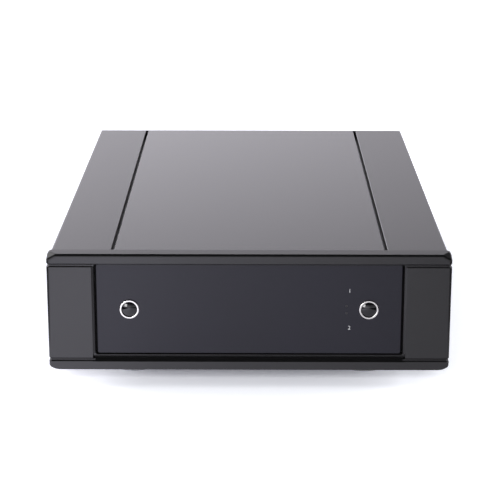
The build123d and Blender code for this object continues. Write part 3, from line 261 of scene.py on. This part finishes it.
finish_of(material("solder_mask", (0.015, 0.11, 0.045), 0.3, mottle=0.25, mottle_size=4 * MM), "main_board",
          "control_board")
finish_of(material("winding_tape", (0.55, 0.32, 0.08), 0.35, mottle=0.2, mottle_size=6 * MM, grain=0.6,
                   grain_size=0.8 * MM), "transformer_winding")
finish_of(material("pad_rubber", (0.03, 0.03, 0.03), 0.8, grain=0.4), "transformer_pads")
finish_of(material("anodised_sink", (0.02, 0.02, 0.02), 0.4, grain=0.3, brushed=2), "heat_sink",
          "regulators")
finish_of(material("blue_wire", (0.03, 0.08, 0.4), 0.4), "mains_leads")
finish_of(material("green_wire", (0.09, 0.38, 0.05), 0.4), "earth_leads")
finish_of(material("red_wire", (0.5, 0.03, 0.02), 0.4), "secondary_leads")
finish_of(material("grey_ribbon", (0.42, 0.42, 0.44), 0.45, mottle=0.08, mottle_size=3 * MM), "ribbon_cable")
finish_of(material("dark_lens", (0.006, 0.006, 0.007), 0.3), "indicator_leds", "light_pipes")
finish_of(material("fuse_glaze", (0.75, 0.74, 0.7), 0.2, mottle=0.04), "fuse")

# --- return springs: copies of the joints' deforming nodes, on the case body in place of the CAD parts ---
for joint in frame["record"]["behaviour"]["joints"]:
    for row in joint.get("deforming_nodes", ()):
        coil = bpy.data.objects.new(row["node"] + "_coil", nodes[row["node"]].data.copy())
        bpy.context.scene.collection.objects.link(coil)
        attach(coil, "case")
        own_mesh(coil)
        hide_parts(row["node"])

# --- printed numerals -----------------------------------------------------------------------------
ink = material("printed_grey", (0.36, 0.36, 0.37), 0.5, mottle=0.08, mottle_size=2 * MM)
INK_THICKNESS = 0.03 * MM       # on either side of the middle of the ink
CAP_SHARE = 0.7                 # of the font's size that a numeral is high


def numeral(name, text, height, spot):
    """Prints text on the front, centred on spot and standing on the surface."""
    curve = bpy.data.curves.new(name, "FONT")
    curve.body = text
    curve.align_x = "CENTER"
    curve.align_y = "CENTER"
    curve.size = height / CAP_SHARE
    curve.extrude = INK_THICKNESS
    draft = bpy.data.objects.new(name, curve)
    bpy.context.scene.collection.objects.link(draft)
    bpy.context.view_layer.update()
    mesh = bpy.data.meshes.new_from_object(draft.evaluated_get(bpy.context.evaluated_depsgraph_get()))
    bpy.data.objects.remove(draft)
    mesh.name = name
    mesh.materials.clear()
    mesh.materials.append(ink)
    label = bpy.data.objects.new(name, mesh)
    bpy.context.scene.collection.objects.link(label)
    label.rotation_euler = Euler((math.radians(90), 0, 0))
    label.location = spot
    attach(label, "case")


ring_low, ring_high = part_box("selector_ring")
LABEL_HEIGHT = 2.1 * MM
LABEL_X = 53.9 * MM
LABEL_RISE = 10.4 * MM
button_z = (ring_low.z + ring_high.z) / 2
for number, side in (("1", 1), ("2", -1)):
    numeral(f"front_numeral_{number}", number, LABEL_HEIGHT,
            (LABEL_X, panel_low.y - INK_THICKNESS, button_z + side * LABEL_RISE))

# --- studio ---------------------------------------------------------------------------------------
BLACK = (0, 0, 0, 1)
WHITE = (1, 1, 1, 1)
FLOOR_SIZE = 12.0
# Tables of (metres from the middle, level) for the floor's painted light and painted reflections: ACROSS
# goes by x, ALONG by y, AROUND by the distance.
# Painted light on the floor for the camera: lighter by the left corner and further from the box, so that the
# shadow stays close to it.
PAINTED_LIGHT_ACROSS = ((-0.32, 0.5), (-0.105, 0.45), (-0.085, 0.25), (-0.06, 0.14), (0.06, 0.14), (0.1, 0.2),
               (0.32, 0.4))
PAINTED_LIGHT_AROUND = ((0.175, 0.0), (0.27, 0.4), (1.0, 0.4), (1.8, 0.8))
PAPER = (0.91, 0.93, 0.96, 1)
# Painted reflection: mirror rays find the paper this much darker than the camera does.
PAINTED_DIM_PAPER = (0.52, 0.51, 0.55, 1)
PAINTED_LIGHT_TINT = (1.0, 0.985, 1.15, 1)
MIRROR_TINT = (1.0, 0.97, 1.05, 1)
# Painted dark reflection: mirror rays find the paper black beside and ahead of the box's front corners.
DARK_REFLECTION_ACROSS = ((-0.2, 1.0), (-0.165, 0.0), (0.165, 0.0), (0.2, 1.0))
DARK_REFLECTION_ALONG = ((-0.15, 1.0), (-0.11, 0.0))
# Painted pool of light on the floor, seen only by mirror rays: a painted reflection on the box's front,
# lighter on the left.
PAINTED_POOL_ACROSS = ((-0.32, 0.0), (-0.2, 0.0), (-0.165, 1.8), (-0.086, 1.55), (-0.051, 0.95), (0.0, 0.65), (0.096, 0.3),
        (0.165, 0.22), (0.2, 0.0), (0.32, 0.0))
PAINTED_POOL_ALONG = ((-0.9, 0.0), (-0.7, 1.4), (-0.42, 1.4), (-0.3, 1.05), (-0.2, 0.9), (-0.13, 1.1), (-0.09, 0.0))


def make_floor():
    """White paper that keeps the shadow; mirror rays find it painted darker, with a painted pool of light
    ahead of the box.

    The camera sees painted light added to it, so that the lit paper is white, and lighter by the left corner
    and further from the box. Mirror rays find the paper painted black by the front corners, a painted dark
    reflection.
    """
    mesh = bpy.data.meshes.new("floor")
    half = FLOOR_SIZE / 2
    mesh.from_pydata([(-half, -half, 0), (half, -half, 0), (half, half, 0), (-half, half, 0)], [],
                     [(0, 1, 2, 3)])
    floor = bpy.data.objects.new("floor", mesh)
    bpy.context.scene.collection.objects.link(floor)
    paper = bpy.data.materials.new("white_paper")
    paper.use_nodes = True
    tree = paper.node_tree
    tree.nodes.remove(tree.nodes["Principled BSDF"])
    path = tree.nodes.new("ShaderNodeLightPath").outputs
    place = tree.nodes.new("ShaderNodeTexCoord").outputs["Object"]
    spot = parts_of(tree, place)

    # Painted dark reflection by the front corners, seen only by mirror rays.
    painted_dark_reflection = maths(tree, "MULTIPLY", levels(tree, spot["X"], DARK_REFLECTION_ACROSS), levels(tree, spot["Y"], DARK_REFLECTION_ALONG))
    # Paper as mirror rays find it: painted darker, and painted black by the front corners.
    painted_mirror_paper = mix(tree, "RGBA", painted_dark_reflection, PAINTED_DIM_PAPER, BLACK)
    lit = tree.nodes.new("ShaderNodeBsdfDiffuse")
    tree.links.new(mix(tree, "RGBA", path["Is Glossy Ray"], PAPER, painted_mirror_paper), lit.inputs["Color"])

    # Painted pool of light, seen only by mirror rays as a painted reflection.
    pool = maths(tree, "MULTIPLY", levels(tree, spot["Y"], PAINTED_POOL_ALONG), levels(tree, spot["X"], PAINTED_POOL_ACROSS))
    painted_reflection_light = maths(tree, "MULTIPLY", path["Is Glossy Ray"], pool)
    far = vector_maths(tree, "LENGTH", place)
    # Painted light for the camera, stronger by the left corner and away from the box.
    painted_floor_light = maths(tree, "ADD", levels(tree, spot["X"], PAINTED_LIGHT_ACROSS), levels(tree, far, PAINTED_LIGHT_AROUND))
    # Emission that carries the floor's painted light and its painted reflection light.
    painted_glow = tree.nodes.new("ShaderNodeEmission")
    painted_glow.inputs["Color"].default_value = PAINTED_LIGHT_TINT
    tree.links.new(maths(tree, "MULTIPLY_ADD", path["Is Camera Ray"], painted_floor_light, painted_reflection_light),
                   painted_glow.inputs["Strength"])

    both = tree.nodes.new("ShaderNodeAddShader")
    tree.links.new(lit.outputs["BSDF"], both.inputs[0])
    tree.links.new(painted_glow.outputs["Emission"], both.inputs[1])
    tree.links.new(both.outputs["Shader"], tree.nodes["Material Output"].inputs["Surface"])
    mesh.materials.append(paper)


make_floor()


HORIZON = 1.8
HORIZON_RISE = (8, 27)          # degrees over which it fades
OVERHEAD = 0.008
LEAN = (1.5, 0.55)              # brighter on the left than on the right
LEAN_REACH = 0.3
WORLD_LIGHT = 0.45


def make_world():
    """Plain grey light behind a white camera view; mirror rays find a bright horizon and dark overhead."""
    world = bpy.data.worlds.new("studio")
    bpy.context.scene.world = world
    world.use_nodes = True
    tree = world.node_tree
    background = tree.nodes["Background"]
    path = tree.nodes.new("ShaderNodeLightPath").outputs
    way = parts_of(tree, tree.nodes.new("ShaderNodeTexCoord").outputs["Generated"])

    rise = [math.sin(math.radians(angle)) for angle in HORIZON_RISE]
    fade = ranged(tree, way["Z"], rise[0], rise[1], HORIZON, OVERHEAD)
    lean = ranged(tree, way["X"], -LEAN_REACH, LEAN_REACH, LEAN[0], LEAN[1])
    mirrored = maths(tree, "MULTIPLY", fade, lean)
    light = mix(tree, "FLOAT", path["Is Glossy Ray"], WORLD_LIGHT, mirrored)
    tree.links.new(mix(tree, "FLOAT", path["Is Camera Ray"], light, 1.0), background.inputs["Strength"])
    tree.links.new(mix(tree, "RGBA", path["Is Glossy Ray"], WHITE, MIRROR_TINT), background.inputs["Color"])


make_world()


def softbox(name, place, target, size, power, glossy=False, only=()):
    """Area lamp on diffuse surfaces, or seen only in gloss; only names the nodes that it reaches."""
    lamp = bpy.data.lights.new(name, "AREA")
    lamp.shape = "RECTANGLE"
    lamp.size, lamp.size_y = size
    lamp.energy = power
    holder = bpy.data.objects.new(name, lamp)
    bpy.context.scene.collection.objects.link(holder)
    holder.location = place
    holder.rotation_euler = (Vector(target) - Vector(place)).to_track_quat("-Z", "Y").to_euler()
    holder.visible_glossy = glossy
    holder.visible_diffuse = not glossy
    if only:
        reached = bpy.data.collections.new(name)
        for node in only:
            reached.objects.link(nodes[node])
        holder.light_linking.receiver_collection = reached


softbox("front", (0, -1.7, 0.72), (0, -0.15, 0), (1.8, 0.5), 34)
softbox("key", (-0.8, -1.35, 0.45), (0, -0.15, 0.04), (0.5, 0.5), 12, glossy=True,
        only=("power_button", "selector_button", "power_ring", "selector_ring"))
softbox("corner", (-0.77, 0.62, 0.86), (-0.105, -0.16, 0.075), (0.5, 0.5), 1.7, glossy=True)
softbox("left", (-1.2, 0.0, 0.3), (-0.1, -0.05, 0), (0.8, 0.4), 14)
softbox("right", (1.2, -0.05, 0.35), (0.1, 0.05, 0), (0.8, 0.4), 14)

# --- camera ---------------------------------------------------------------------------------------
SENSOR = 36.0
IMAGE_WIDTH = 500
FOCAL_PIXELS = 1677.2
EYE_FROM_BEZEL = Vector((2.6, -853.0, 314.8)) * MM     # from the middle of the bezel's lower front edge
EYE_PITCH = 16.173
EYE_YAW = 0.173
EYE_ROLL = -0.096
bezel_low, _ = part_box("front_bezel")
camera = bpy.data.objects.new("camera", bpy.data.cameras.new("camera"))
bpy.context.scene.collection.objects.link(camera)
camera.data.sensor_width = SENSOR
camera.data.lens = FOCAL_PIXELS / IMAGE_WIDTH * SENSOR
camera.data.clip_end = 50
camera.location = Vector((0, bezel_low.y, bezel_low.z)) + EYE_FROM_BEZEL
camera.rotation_euler = (math.radians(90 - EYE_PITCH), math.radians(EYE_ROLL), math.radians(EYE_YAW))
bpy.context.scene.camera = camera
bpy.context.scene.view_settings.view_transform = "Standard"
